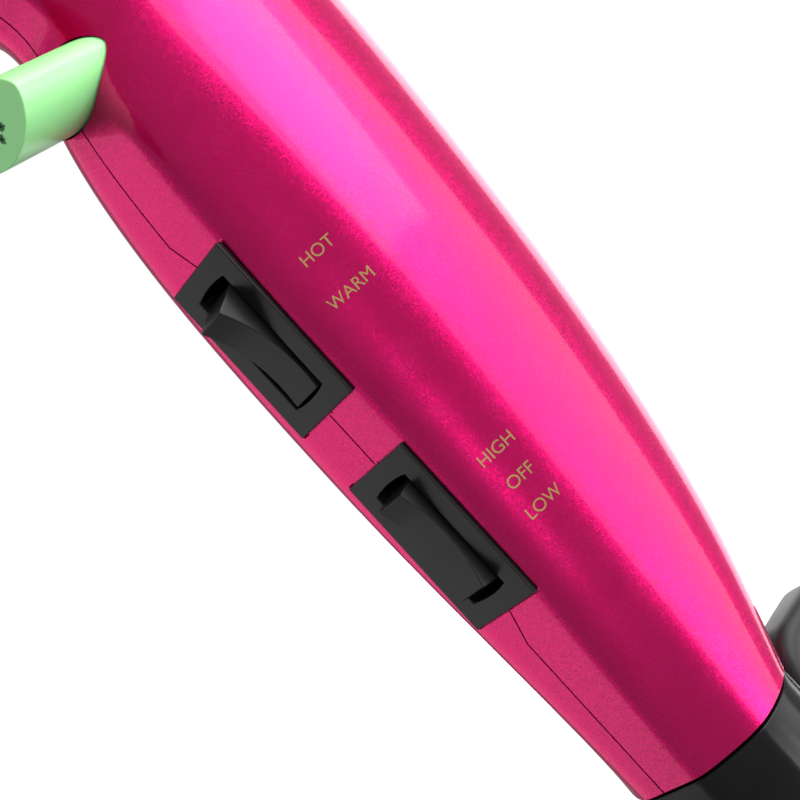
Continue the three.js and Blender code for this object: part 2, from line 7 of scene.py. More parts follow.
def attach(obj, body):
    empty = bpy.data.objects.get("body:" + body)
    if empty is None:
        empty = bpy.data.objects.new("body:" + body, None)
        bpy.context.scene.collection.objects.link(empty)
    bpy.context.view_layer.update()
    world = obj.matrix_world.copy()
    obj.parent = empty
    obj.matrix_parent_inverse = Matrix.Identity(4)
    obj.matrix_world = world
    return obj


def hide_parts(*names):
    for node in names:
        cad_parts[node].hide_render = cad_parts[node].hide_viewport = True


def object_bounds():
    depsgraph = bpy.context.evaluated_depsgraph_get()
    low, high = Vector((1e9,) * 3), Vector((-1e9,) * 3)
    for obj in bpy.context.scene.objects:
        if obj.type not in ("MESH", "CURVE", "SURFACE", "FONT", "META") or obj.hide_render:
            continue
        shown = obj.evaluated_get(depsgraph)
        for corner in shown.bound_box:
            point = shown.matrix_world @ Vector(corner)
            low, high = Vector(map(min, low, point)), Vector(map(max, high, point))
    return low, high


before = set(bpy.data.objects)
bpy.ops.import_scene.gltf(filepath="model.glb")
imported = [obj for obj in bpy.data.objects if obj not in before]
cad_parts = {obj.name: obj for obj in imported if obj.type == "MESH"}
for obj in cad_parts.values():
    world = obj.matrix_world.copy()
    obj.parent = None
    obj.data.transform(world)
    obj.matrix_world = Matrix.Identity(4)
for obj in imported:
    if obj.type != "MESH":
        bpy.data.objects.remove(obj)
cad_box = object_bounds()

# ---------------------------------------------------------------------------
# Camera: a close view of the handle's switch face and left side, with the
# camera rolled so that the handle runs from the upper left to the lower right.
aim = Vector((-0.696, -0.718, 0.002)).normalized()
roll = math.radians(-42.46)
bpy.ops.object.camera_add(location=(0.037, 0.148, -0.1228))
camera = bpy.context.object
camera.name = "camera"
turn = aim.to_track_quat("-Z", "Y").to_matrix() @ Matrix.Rotation(roll, 3, "Z")
camera.matrix_world = Matrix.Translation(camera.location) @ turn.to_4x4()
camera.data.lens = 67.05
camera.data.sensor_width = 36
camera.data.clip_start = 0.01
bpy.context.scene.camera = camera
bpy.context.scene.view_settings.view_transform = "Standard"

# ---------------------------------------------------------------------------
# Floor and light: a white sweep, tall soft panels on the dryer's left, behind
# it, above it and ahead of it, and a dark gap for the lacquer's front corner.
handle_middle = Vector((-0.115, 0, -0.12))


def soft_panel(name, azimuth, elevation, distance, width, height, power):
    """An area light round the handle; azimuth 0 is ahead of the nozzle and 90 the left side."""
    a, e = math.radians(azimuth), math.radians(elevation)
    away = Vector((math.cos(a) * math.cos(e), math.sin(a) * math.cos(e), math.sin(e)))
    bpy.ops.object.light_add(type="AREA", location=handle_middle + away * distance)
    panel = bpy.context.object
    panel.name = name
    panel.data.shape = "RECTANGLE"
    panel.data.size = width
    panel.data.size_y = height
    panel.data.energy = power
    panel.rotation_euler = (-away).to_track_quat("-Z", "Y").to_euler()
    panel.visible_camera = False
    return panel


soft_panel("side_panel", 116, 30, 0.7, 0.84, 0.72, 4.2)
soft_panel("side_wash", 126, -4, 1.0, 1.42, 1.7, 11.5)
soft_panel("low_panel", 113, -40, 0.8, 0.6, 0.4, 3.4)
soft_panel("front_panel", -62, 5, 0.9, 0.7, 1.0, 1.5)
soft_panel("top_panel", 70, 80, 1.0, 0.7, 0.7, 2.0)
soft_panel("back_panel", 208, 5, 0.8, 0.7, 1.2, 5)
fill = soft_panel("fill_panel", 70, 20, 1.1, 1.2, 1.2, 14)
fill.visible_glossy = False

world = bpy.data.worlds.new("studio")
bpy.context.scene.world = world
world.use_nodes = True
sky = world.node_tree
sky.nodes.clear()
seen = sky.nodes.new("ShaderNodeLightPath")
dim = sky.nodes.new("ShaderNodeBackground")
dim.inputs["Color"].default_value = (1, 0.98, 0.97, 1)
dim.inputs["Strength"].default_value = 0.27
white = sky.nodes.new("ShaderNodeBackground")
white.inputs["Color"].default_value = (1, 1, 1, 1)
white.inputs["Strength"].default_value = 1.0
pick = sky.nodes.new("ShaderNodeMixShader")
out = sky.nodes.new("ShaderNodeOutputWorld")
sky.links.new(seen.outputs["Is Camera Ray"], pick.inputs[0])
sky.links.new(dim.outputs[0], pick.inputs[1])
sky.links.new(white.outputs[0], pick.inputs[2])
sky.links.new(pick.outputs[0], out.inputs[0])

floor_z = cad_box[0][2] - 0.0005
bpy.ops.mesh.primitive_circle_add(vertices=96, radius=2.5, fill_type="NGON",
                                  location=(-0.08, 0, floor_z))
floor = bpy.context.object
floor.name = "floor"
floor.visible_glossy = False
floor.visible_diffuse = False
floor.visible_shadow = False
sweep = bpy.data.materials.new("white_sweep")
sweep.use_nodes = True
paper = sweep.node_tree
glow = paper.nodes["Principled BSDF"]
glow.inputs["Base Color"].default_value = (0.9, 0.9, 0.9, 1)
glow.inputs["Roughness"].default_value = 0.9
glow.inputs["Emission Strength"].default_value = 1.0
spot = paper.nodes.new("ShaderNodeTexCoord")
away = paper.nodes.new("ShaderNodeVectorMath")
away.operation = "LENGTH"
fade = paper.nodes.new("ShaderNodeMapRange")
fade.inputs["From Min"].default_value = 0.16
fade.inputs["From Max"].default_value = 0.42
fade.inputs["To Min"].default_value = 0.62
fade.inputs["To Max"].default_value = 1.0
paper.links.new(spot.outputs["Object"], away.inputs[0])
paper.links.new(away.outputs["Value"], fade.inputs["Value"])
paper.links.new(fade.outputs["Result"], glow.inputs["Emission Color"])
floor.data.materials.append(sweep)

# ---------------------------------------------------------------------------
# Body shells: barrel and handle in one blended skin, moulded as two halves that
# part just right of the middle and are screwed together from the right. Pearl
# pink lacquer, with fine metal flake under a clear coat.
FACE_X = -0.095
MID_Z = -0.122
JOINT_Z = MID_Z - 0.063
WALL = 0.0022
SWITCH_Z = (MID_Z + 0.01765, MID_Z - 0.01765)


def drop_selection():
    """Leaves edit mode and selects nothing, ready for the next piece."""
    if bpy.context.object and bpy.context.object.mode == "EDIT":
        bpy.ops.object.mode_set(mode="OBJECT")
    bpy.ops.object.select_all(action="DESELECT")


def settle(name):
    """Puts the new object's place into its mesh, and names it."""
    thing = bpy.context.object
    bpy.ops.object.transform_apply(location=True, rotation=True, scale=True)
    thing.name = name
    return thing


def select_by(thing, test, kind="VERT"):
    """In edit mode, selects the vertices, edges or faces whose middle passes a test."""
    bpy.context.tool_settings.mesh_select_mode = tuple(kind == k for k in ("VERT", "EDGE", "FACE"))
    mesh = bmesh.from_edit_mesh(thing.data)
    for v in mesh.verts:
        v.select_set(False)
    mesh.select_flush(False)
    if kind == "VERT":
        for v in mesh.verts:
            v.select_set(bool(test(v.co)))
        mesh.select_flush_mode()
    elif kind == "EDGE":
        for e in mesh.edges:
            e.select_set(bool(test(e)))
    else:
        for f in mesh.faces:
            f.select_set(bool(test(f)))
    bmesh.update_edit_mesh(thing.data)


def finish_modifier(thing, kind, **settings):
    """Adds one modifier and applies it."""
    drop_selection()
    thing.select_set(True)
    bpy.context.view_layer.objects.active = thing
    mod = thing.modifiers.new(kind.lower(), kind)
    for key, value in settings.items():
        setattr(mod, key, value)
    bpy.ops.object.modifier_apply(modifier=mod.name)


def cut_with(thing, cutter, solver="EXACT"):
    """Cuts a thing with another, which is then thrown away."""
    finish_modifier(thing, "BOOLEAN", object=cutter, operation="DIFFERENCE", solver=solver)
    bpy.data.objects.remove(cutter, do_unlink=True)


def joined(things, name):
    """Joins several things into the first, under one name."""
    drop_selection()
    for thing in things:
        thing.select_set(True)
    bpy.context.view_layer.objects.active = things[0]
    bpy.ops.object.join()
    things[0].name = name
    return things[0]


def copy_of(thing, name):
    """A copy with its own mesh."""
    twin = thing.copy()
    twin.data = thing.data.copy()
    twin.name = name
    bpy.context.scene.collection.objects.link(twin)
    return twin


def smooth_edges(thing, width, steps=2, angle=40):
    """Rounds the sharp edges a little, as a mould does, and shades the rest smooth."""
    finish_modifier(thing, "BEVEL", width=width, segments=steps, limit_method="ANGLE",
                    angle_limit=math.radians(angle), harden_normals=False, use_clamp_overlap=True)
    drop_selection()
    thing.select_set(True)
    bpy.context.view_layer.objects.active = thing
    bpy.ops.object.shade_smooth_by_angle(angle=math.radians(35))
    finish_modifier(thing, "WEIGHTED_NORMAL", keep_sharp=True, weight=100)


def block(name, low, high):
    """A box between two corners, in edit mode or out of it."""
    drop_selection()
    middle = (Vector(low) + Vector(high)) / 2
    bpy.ops.mesh.primitive_cube_add(size=1, location=middle, scale=Vector(high) - Vector(low))
    return settle(name)


def ride_as(piece, body, slot, *nodes):
    """Says what body a piece moves with and hides the nodes it stands for; the slot for its finish
    is not used.
    """
    if nodes:
        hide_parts(*nodes)
    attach(piece, body)


# the handle from the foot up: height over the middle of the switches, setback of
# the face, half width of the face, half width, depth
levels = [
    (-0.063, 0, 0.0062, 0.0140, 0.0270),
    (-0.0625, 0, 0.0062, 0.0140, 0.0272),
    (-0.052, 0, 0.0070, 0.0144, 0.0340),
    (-0.038, 0, 0.0085, 0.0150, 0.0410),
    (-0.016, 0, 0.0105, 0.0165, 0.0470),
    (0.005, 0, 0.0105, 0.0180, 0.0505),
    (0.028, 0, 0.0096, 0.0190, 0.0530),
    (0.045, -0.0012, 0.0085, 0.0186, 0.0541),
    (0.058, -0.0034, 0.0072, 0.0176, 0.0530),
    (0.070, -0.0078, 0.0060, 0.0166, 0.0498),
    (0.0795, -0.0055, 0.0066, 0.0166, 0.0560),
]
SECTION_POINTS = 24
FRONT_SHARE = 0.35
# a subdivided ring shrinks to its points' average, so it starts this much larger
SWELL = 3 / (2 + math.cos(2 * math.pi / SECTION_POINTS))


def handle_ring(name, level):
    """One ring of the handle's section: round behind, with a flat face in front."""
    h, setback, face, wide, depth = level
    front, back = FRONT_SHARE * depth, (1 - FRONT_SHARE) * depth
    drop_selection()
    bpy.ops.mesh.primitive_circle_add(vertices=SECTION_POINTS, radius=1)
    ring = bpy.context.object
    ring.name = name
    bpy.ops.object.mode_set(mode="EDIT")
    bpy.ops.transform.resize(value=(1, wide * SWELL, 1))
    select_by(ring, lambda p: p.x > 0.01)
    bpy.ops.transform.resize(value=(front, 1, 1), center_override=(0, 0, 0))
    select_by(ring, lambda p: p.x < -0.01)
    bpy.ops.transform.resize(value=(back * SWELL, 1, 1), center_override=(0, 0, 0))
    select_by(ring, lambda p: p.x > 0.8 * front)
    bpy.ops.transform.resize(value=(0, face / (0.5 * wide), 1), center_override=(front, 0, 0))
    select_by(ring, lambda p: True)
    bpy.ops.transform.translate(value=(FACE_X + setback - front, 0, MID_Z + h))
    return ring


skin = handle_ring("skin", levels[0])
for lower, upper in zip(levels, levels[1:]):
    from_x = FACE_X + lower[1] - FRONT_SHARE * lower[4]
    to_x = FACE_X + upper[1] - FRONT_SHARE * upper[4]
    z = MID_Z + upper[0]
    bpy.ops.mesh.extrude_region_move(
        TRANSFORM_OT_translate={"value": (to_x - from_x, 0, upper[0] - lower[0])})
    bpy.ops.transform.resize(
        value=(upper[4] / lower[4], upper[3] / lower[3], 1), center_override=(to_x, 0, z))
    face_x = FACE_X + upper[1]
    select_by(skin, lambda p: abs(p.z - z) < 1e-5 and p.x > face_x - 1e-4)
    bpy.ops.transform.resize(
        value=(1, (upper[2] / lower[2]) / (upper[3] / lower[3]), 1), center_override=(to_x, 0, z))
    select_by(skin, lambda p: abs(p.z - z) < 1e-5)
bpy.ops.object.mode_set(mode="OBJECT")

# the barrel from its mouth back: place along X and radius
columns = [
    (-0.0140, 0.0299), (-0.0146, 0.0301), (-0.020, 0.0302), (-0.040, 0.0312), (-0.060, 0.0331),
    (-0.076, 0.0348), (-0.0875, 0.0358), (-0.100, 0.0366), (-0.114, 0.0371), (-0.128, 0.0375),
    (-0.142, 0.0377), (-0.156, 0.0378), (-0.1685, 0.0378), (-0.1714, 0.0376), (-0.1720, 0.0375),
]
BARREL_POINTS = 32


def extruded_rings(name, profile, points):
    """A wall of revolution round the X axis: a circle extruded and resized along a profile of
    places and radii. It is left open, in object mode."""
    drop_selection()
    bpy.ops.mesh.primitive_circle_add(vertices=points, radius=profile[0][1],
                                      location=(profile[0][0], 0, 0), rotation=(0, math.pi / 2, 0))
    wall = settle(name)
    bpy.ops.object.mode_set(mode="EDIT")
    for here, there in zip(profile, profile[1:]):
        bpy.ops.mesh.extrude_region_move(
            TRANSFORM_OT_translate={"value": (there[0] - here[0], 0, 0)})
        grow = there[1] / here[1]
        bpy.ops.transform.resize(value=(1, grow, grow), center_override=(there[0], 0, 0))
    bpy.ops.object.mode_set(mode="OBJECT")
    return wall


barrel_swell = 3 / (2 + math.cos(2 * math.pi / BARREL_POINTS))
barrel = extruded_rings("barrel", [(x, r * barrel_swell) for x, r in columns], BARREL_POINTS)


def over_handle(face):
    """The patch of the barrel that the handle's neck runs into."""
    c = face.calc_center_median()
    return abs(math.atan2(c.y, -c.z)) < math.radians(33.8) and -0.1685 < c.x < -0.0875


bpy.ops.object.mode_set(mode="EDIT")
select_by(barrel, over_handle, "FACE")
bpy.ops.mesh.delete(type="FACE")
skin = joined([skin, barrel], "skin")
bpy.ops.object.mode_set(mode="EDIT")
neck_z = MID_Z + levels[-1][0]


def faces_gap(edge):
    """An open edge on the neck's top ring or round the hole in the barrel."""
    m = (edge.verts[0].co + edge.verts[1].co) / 2
    on_hole = -0.041 < m.z < -0.02 and -0.17 < m.x < -0.08
    return edge.is_boundary and (abs(m.z - neck_z) < 1e-5 or on_hole)


select_by(skin, faces_gap, "EDGE")
bpy.ops.mesh.bridge_edge_loops()
bpy.ops.mesh.select_all(action="SELECT")
bpy.ops.mesh.normals_make_consistent(inside=False)
bpy.ops.object.mode_set(mode="OBJECT")
finish_modifier(skin, "SUBSURF", levels=3, render_levels=3)
bpy.ops.object.shade_smooth()
outer_skin = copy_of(skin, "outer_skin")
finish_modifier(skin, "SOLIDIFY", thickness=WALL, offset=-1, use_even_offset=True, use_rim=True)

# pockets for the two switch plates, each with a smaller opening behind it
POCKET = (0.01325, 0.0071)
OPENING = (0.0119, 0.0059)
BUTTON_Z = -0.0613
BUTTON_HALF = (0.0090, 0.0049)
cutters = []
for z in SWITCH_Z:
    cutter = block("switch_cutter", (FACE_X - 0.0006, -POCKET[1], z - POCKET[0]),
                   (FACE_X + 0.003, POCKET[1], z + POCKET[0]))
    bpy.ops.object.mode_set(mode="EDIT")
    select_by(cutter, lambda f: f.normal.x < -0.9, "FACE")
    bpy.ops.mesh.extrude_region_move()
    bpy.ops.transform.resize(value=(1, OPENING[1] / POCKET[1], OPENING[0] / POCKET[0]),
                             center_override=(0, 0, z))
    bpy.ops.mesh.extrude_region_move(TRANSFORM_OT_translate={"value": (-0.0074, 0, 0)})
    bpy.ops.object.mode_set(mode="OBJECT")
    cutters.append(cutter)


def lens_ring(name, x, grow):
    """The cool-air button's outline at one place: between an oval and a lens."""
    drop_selection()
    bpy.ops.mesh.primitive_circle_add(vertices=64, radius=1, location=(x, 0, 0),
                                      rotation=(0, math.pi / 2, 0))
    ring = settle(name)
    for v in ring.data.vertices:
        v.co.z *= abs(v.co.z) ** 0.2
    ring.data.transform(Matrix.Diagonal((1, BUTTON_HALF[0] + grow, BUTTON_HALF[1] + grow, 1)))
    ring.data.transform(Matrix.Translation((0, 0, BUTTON_Z)))
    bpy.ops.object.mode_set(mode="EDIT")
    bpy.ops.mesh.select_all(action="SELECT")
    return ring


button_cutter = lens_ring("button_cutter", FACE_X - 0.018, 0.0003)
bpy.ops.mesh.edge_face_add()
bpy.ops.mesh.extrude_region_move(TRANSFORM_OT_translate={"value": (0.038, 0, 0)})
bpy.ops.mesh.select_all(action="SELECT")
bpy.ops.mesh.normals_make_consistent(inside=False)
bpy.ops.object.mode_set(mode="OBJECT")
cutters.append(button_cutter)

# countersunk wells for the three screws, from the right side
SCREWS = ((-0.137, -0.058), (-0.1355, -0.120), (-0.112, -0.164))
SCREW_SEAT = -0.0085
for x, z in SCREWS:
    drop_selection()
    bpy.ops.mesh.primitive_cylinder_add(vertices=40, radius=0.0031, depth=0.012,
                                        location=(x, SCREW_SEAT - 0.006, z),
                                        rotation=(math.pi / 2, 0, 0))
    cutters.append(settle("screw_cutter"))
cut_with(skin, joined(cutters, "cutters"))

# the parting line: right of the middle, jogging to the middle past the switches
SEAM_Y = -0.00175
JOGS = (-0.0865, -0.0913, -0.1532, -0.1580)
SEAM_GAP = 0.00026


def seam_side(name, near, far):
    """A block on one side of the seam, stepped to the middle beside the switches."""
    side = block(name, (-0.2, min(near, far), -0.22), (0.02, max(near, far), 0.06))
    bpy.ops.object.mode_set(mode="EDIT")
    for z in JOGS:
        bpy.ops.mesh.select_all(action="SELECT")
        bpy.ops.mesh.bisect(plane_co=(0, 0, z), plane_no=(0, 0, 1))
    select_by(side, lambda p: abs(p.y - near) < 1e-6 and -0.1533 < p.z < -0.0912)
    bpy.ops.transform.translate(value=(0, -SEAM_Y, 0))
    bpy.ops.object.mode_set(mode="OBJECT")
    return side


left = skin
right = copy_of(skin, "right")
cut_with(left, seam_side("right_side", SEAM_Y + SEAM_GAP / 2, -0.06), solver="FAST")
cut_with(right, seam_side("left_side", SEAM_Y - SEAM_GAP / 2, 0.06), solver="FAST")
left.name = "shell_left"
right.name = "shell_right"
for half in (left, right):
    drop_selection()
    half.select_set(True)
    bpy.context.view_layer.objects.active = half
    bpy.ops.object.shade_smooth_by_angle(angle=math.radians(32))


class Wire:
    """A socket in a material; arithmetic on it adds Math nodes."""

    def __init__(self, tree, socket):
        self.tree = tree
        self.socket = socket

    def node(self, kind, settings=None, inputs=None, out=0):
        """Adds a node: first its settings, then the values or links of its sockets."""
        made = self.tree.nodes.new("ShaderNode" + kind)
        for key, value in (settings or {}).items():
            setattr(made, key, value)
        for key, value in (inputs or {}).items():
            if isinstance(value, Wire):
                self.tree.links.new(value.socket, made.inputs[key])
            else:
                made.inputs[key].default_value = value
        return Wire(self.tree, made.outputs[out])

    def math(self, operation, first, second=0.0):
        return self.node("Math", {"operation": operation}, {0: first, 1: second})

    def __add__(self, other):
        return self.math("ADD", self, other)

    def __mul__(self, other):
        return self.math("MULTIPLY", self, other)

    def band(self, low, high):
        """0 below the low value, 1 above the high one, smooth between."""
        return self.node("MapRange", {"interpolation_type": "SMOOTHSTEP"},
                         {"Value": self, "From Min": low, "From Max": high})

    def mix(self, dark, light):
        """A colour between two, by this value."""
        pair = [c if isinstance(c, Wire) else (*c, 1) for c in (dark, light)]
        return self.node("Mix", {"data_type": "RGBA"}, {0: self, 6: pair[0], 7: pair[1]}, 2)

    def noise(self, scale, detail, rough):
        """Noise at this place, in cycles a metre."""
        return self.node("TexNoise", None, {"Vector": self, "Scale": scale, "Detail": detail,
                                            "Roughness": rough})

    def bump(self, depth, strength):
        """A bumped normal from this height, 0 to 1, of a depth in metres."""
        return self.node("Bump", None, {"Height": self, "Distance": depth, "Strength": strength})


def finish(name, **constants):
    """A new material, its shader with constants on its own sockets, and its place."""
    made = bpy.data.materials.new(name)
    made.use_nodes = True
    tree = made.node_tree
    shader = tree.nodes["Principled BSDF"]
    for key, value in constants.items():
        socket = shader.inputs[key.replace("_", " ").title().replace("Ior", "IOR")]
        socket.default_value = (*value, 1) if isinstance(value, tuple) else value
    place = Wire(tree, tree.nodes.new("ShaderNodeTexCoord").outputs["Object"])
    return made, shader, place


def feed(shader, **wires):
    """Links values that vary over the surface to the shader."""
    for key, wire in wires.items():
        wire.tree.links.new(wire.socket, shader.inputs[key.replace("_", " ").title()])


def lacquer():
    """Pink base with flakes that each lean their own way, under a smooth clear coat."""
    made, shader, place = finish("pink_lacquer", metallic=0.92, coat_weight=0.8,
                                 coat_roughness=0.09, coat_ior=1.38,
                                 specular_tint=(1.0, 0.3, 0.55))
    flakes = place.node("TexVoronoi", None, {"Vector": place, "Scale": 9500}, 1)
    lean = place.node("VectorMath", {"operation": "SUBTRACT"}, {0: flakes, 1: (0.5, 0.5, 0.5)})
    lean = place.node("VectorMath", {"operation": "SCALE"}, {0: lean, "Scale": 0.2})
    facing = place.node("NewGeometry", None, None, 1)
    tilted = place.node("VectorMath", {"operation": "ADD"}, {0: facing, 1: lean})
    tilted = place.node("VectorMath", {"operation": "NORMALIZE"}, {0: tilted})
    spread = place.node("SeparateColor", None, {"Color": flakes})
    cloud = place.noise(180, 3, 0.55)
    shade = spread * 0.7 + cloud * 0.3
    colour = shade.mix((0.68, 0.002, 0.125), (0.96, 0.010, 0.215))
    rough = cloud * 0.05 + 0.245
    feed(shader, base_color=colour, roughness=rough, normal=tilted)
    return made


paint = lacquer()
for half, node in ((left, "left_shell"), (right, "right_shell")):
    half.data.materials.clear()
    half.data.materials.append(paint)
    ride_as(half, "housing", "shell_paint", node)

# ---------------------------------------------------------------------------
# Switch plates: black moulded frames that snap into the shells' face from
# outside, each with a sleeve behind it and a slot for its rocker.
PLATE = (0.0130, 0.00685)
PLATE_PROUD = 0.0006
PLATE_SUNK = 0.0003
SLEEVE = (0.0115, 0.0055)
SLEEVE_DEPTH = 0.009
SLOT = (0.0100, 0.0036)
SLOT_BOW = 0.0004
PIVOT_X = FACE_X - 0.0042


def moulded_black(name, gloss, grain, shine=0.4):
    """Black moulded plastic: a fine grain in the skin and faint cloudy wear in its gloss."""
    made, shader, place = finish(name, ior=1.5, specular_ior_level=shine)
    wear = place.noise(160, 4, 0.6)
    pits = place.noise(2600, 2, 0.6)
    colour = wear.mix((0.003, 0.003, 0.0035), (0.008, 0.008, 0.009))
    rough = wear * 0.10 + gloss
    feed(shader, base_color=colour, roughness=rough, normal=pits.bump(grain, 0.5))
    return made


plate_black = moulded_black("plate_black", 0.26, 0.000012)


def slot_cutter(z):
    """The rocker's slot: a box with gently bowed ends."""
    cutter = block("slot_cutter", (FACE_X - 0.012, -SLOT[1], z - SLOT[0]),
                   (FACE_X + 0.003, SLOT[1], z + SLOT[0]))
    bpy.ops.object.mode_set(mode="EDIT")
    for y in (-0.0024, -0.0012, 0, 0.0012, 0.0024):
        bpy.ops.mesh.select_all(action="SELECT")
        bpy.ops.mesh.bisect(plane_co=(0, y, 0), plane_no=(0, 1, 0))
    bpy.ops.object.mode_set(mode="OBJECT")
    for v in cutter.data.vertices:
        side = 1 if v.co.z > z else -1
        v.co.z -= side * SLOT_BOW * (v.co.y / SLOT[1]) ** 2
    return cutter


for name, z in zip(("heat", "speed"), SWITCH_Z):
    plate = block(f"{name}_plate", (FACE_X - PLATE_SUNK, -PLATE[1], z - PLATE[0]),
                  (FACE_X + PLATE_PROUD, PLATE[1], z + PLATE[0]))
    bpy.ops.object.mode_set(mode="EDIT")
    select_by(plate, lambda f: f.normal.x < -0.9, "FACE")
    bpy.ops.mesh.extrude_region_move()
    bpy.ops.transform.resize(value=(1, SLEEVE[1] / PLATE[1], SLEEVE[0] / PLATE[0]),
                             center_override=(0, 0, z))
    bpy.ops.mesh.extrude_region_move(
        TRANSFORM_OT_translate={"value": (PLATE_SUNK - SLEEVE_DEPTH, 0, 0)})
    bpy.ops.object.mode_set(mode="OBJECT")
    cut_with(plate, slot_cutter(z))
    smooth_edges(plate, 0.00018, 3)
    plate.data.materials.append(plate_black)
    ride_as(plate, "housing", "black_satin", f"{name}_bezel")

# ---------------------------------------------------------------------------
# Rockers: black moulded levers with a dished top between two peaks, each on a
# steel pin across its plate's sleeve. The heat one rests on HOT.
ROCKER_HALF = 0.00335
RIDGE_HALF = 0.0028
PEAK_AT, PEAK_OUT = 0.008, 0.0072
ROCKER_REACH, SHOULDER_OUT = 0.0091, 0.0024
DISH = 0.0016
rocker_black = moulded_black("rocker_black", 0.30, 0.00002)


def rocker(name, z, tilt):
    """A rocker about its pivot: a box cut into rows, its top dished and its sides drawn in."""
    lever = block(name, (-0.0032, -ROCKER_HALF, -ROCKER_REACH),
                  (PEAK_OUT, ROCKER_HALF, ROCKER_REACH))
    bpy.ops.object.mode_set(mode="EDIT")
    rows = 8
    for i in range(rows + 1):
        bpy.ops.mesh.select_all(action="SELECT")
        bpy.ops.mesh.bisect(plane_co=(0, 0, PEAK_AT * (1 - 2 * i / rows)), plane_no=(0, 0, 1))
    for x in (-0.001, SHOULDER_OUT):
        bpy.ops.mesh.select_all(action="SELECT")
        bpy.ops.mesh.bisect(plane_co=(x, 0, 0), plane_no=(1, 0, 0))
    for i in range(rows + 1):
        at = PEAK_AT * (1 - 2 * i / rows)
        select_by(lever, lambda p: p.x > PEAK_OUT - 1e-5 and abs(p.z - at) < 1e-5)
        bpy.ops.transform.translate(value=(-DISH * (1 - (at / PEAK_AT) ** 2), 0, 0))
    select_by(lever, lambda p: p.x > SHOULDER_OUT + 1e-4)
    bpy.ops.transform.resize(value=(1, RIDGE_HALF / ROCKER_HALF, 1), center_override=(0, 0, 0))
    select_by(lever, lambda p: p.x > PEAK_OUT - 1e-5 and abs(p.z) > PEAK_AT + 1e-5)
    bpy.ops.transform.resize(value=(1, 1, PEAK_AT / ROCKER_REACH + 0.03), center_override=(0, 0, 0))
    bpy.ops.transform.translate(value=(-0.0008, 0, 0))
    select_by(lever, lambda p: p.x < -0.003 and abs(p.z) > PEAK_AT - 1e-5)
    bpy.ops.transform.resize(value=(1, 1, 0.72), center_override=(0, 0, 0))
    bpy.ops.object.mode_set(mode="OBJECT")
    drop_selection()
    lever.select_set(True)
    bpy.context.view_layer.objects.active = lever
    lever.rotation_euler = (0, math.radians(tilt), 0)
    lever.location = (PIVOT_X, 0, z)
    bpy.ops.object.transform_apply(location=True, rotation=True, scale=True)
    smooth_edges(lever, 0.0003, 3, 25)
    lever.data.materials.append(rocker_black)
    return lever


for name, z, tilt in zip(("heat", "speed"), SWITCH_Z, (14, 0)):
    lever = rocker(f"{name}_lever", z, tilt)
    ride_as(lever, f"{name}_rocker", "rocker_black", f"{name}_rocker")

# ---------------------------------------------------------------------------
# Cool-air button: a mint moulded bar of lens section with a flange inside the
# shells, sprung outwards, and a snowflake printed on its end.
BUTTON_ROOT = FACE_X - 0.012
BUTTON_FRONT = FACE_X + 0.0096
button = lens_ring("button", BUTTON_ROOT - 0.002, -0.0004)
bpy.ops.mesh.edge_face_add()
bpy.ops.mesh.extrude_region_move(TRANSFORM_OT_translate={"value": (0.0023, 0, 0)})
bpy.ops.mesh.extrude_region_move()
bpy.ops.transform.resize(value=(1, 1.0465, 1.0889), center_override=(0, 0, BUTTON_Z))
bpy.ops.mesh.extrude_region_move(
    TRANSFORM_OT_translate={"value": (BUTTON_FRONT - BUTTON_ROOT - 0.0003, 0, 0)})
bpy.ops.mesh.select_all(action="SELECT")
bpy.ops.mesh.normals_make_consistent(inside=False)
bpy.ops.object.mode_set(mode="OBJECT")
smooth_edges(button, 0.00045, 4)


def mint():
    """Mint moulded plastic, a little cloudy, with a satin grain."""
    made, shader, place = finish("mint_moulded", ior=1.46, subsurface_weight=0.12,
                                 subsurface_scale=0.004)
    cloud = place.noise(240, 3, 0.5)
    grain = place.noise(3000, 2, 0.5)
    colour = cloud.mix((0.27, 0.75, 0.28), (0.32, 0.81, 0.33))
    feed(shader, base_color=colour, roughness=cloud * 0.08 + 0.3, normal=grain.bump(0.00001, 0.4))
    return made


button.data.materials.append(mint())
ride_as(button, "cool_button", "mint_plastic", "cool_button")


def printed_ink(name, dark, light, metallic, rough):
    """Pad-printed ink: slightly uneven in tone, with tiny pinholes in its gloss."""
    made, shader, place = finish(name, metallic=metallic)
    patch = place.noise(3500, 3, 0.6)
    feed(shader, base_color=patch.mix(dark, light), roughness=patch * 0.15 + rough)
    return made


# one arm of the snowflake with its two pairs of twigs, turned six ways
ARM, INK, TWIG_LEAN = 0.0026, 0.00036, 42
arm_bars = [(0, 0, ARM)]
for at, length in ((0.0011, 0.0009), (0.0017, 0.0007)):
    arm_bars += [(at, -TWIG_LEAN, length), (at, TWIG_LEAN, length)]
strokes = []
for i in range(6):
    for at, lean, length in arm_bars:
        bar = block("bar", (0, -INK / 2, 0), (0.00006, INK / 2, length))
        bar.data.transform(Matrix.Rotation(math.radians(lean), 4, "X"))
        bar.data.transform(Matrix.Translation((0, 0, at)))
        bar.data.transform(Matrix.Rotation(math.radians(i * 60), 4, "X"))
        strokes.append(bar)
flake = joined(strokes, "button_snowflake")
flake.data.transform(Matrix.Translation((BUTTON_FRONT - 0.00002, 0, BUTTON_Z)))
green_ink = printed_ink("flake_ink", (0.01, 0.10, 0.03), (0.02, 0.15, 0.05), 0.0, 0.45)
flake.data.materials.append(green_ink)
ride_as(flake, "cool_button", "mint_plastic")

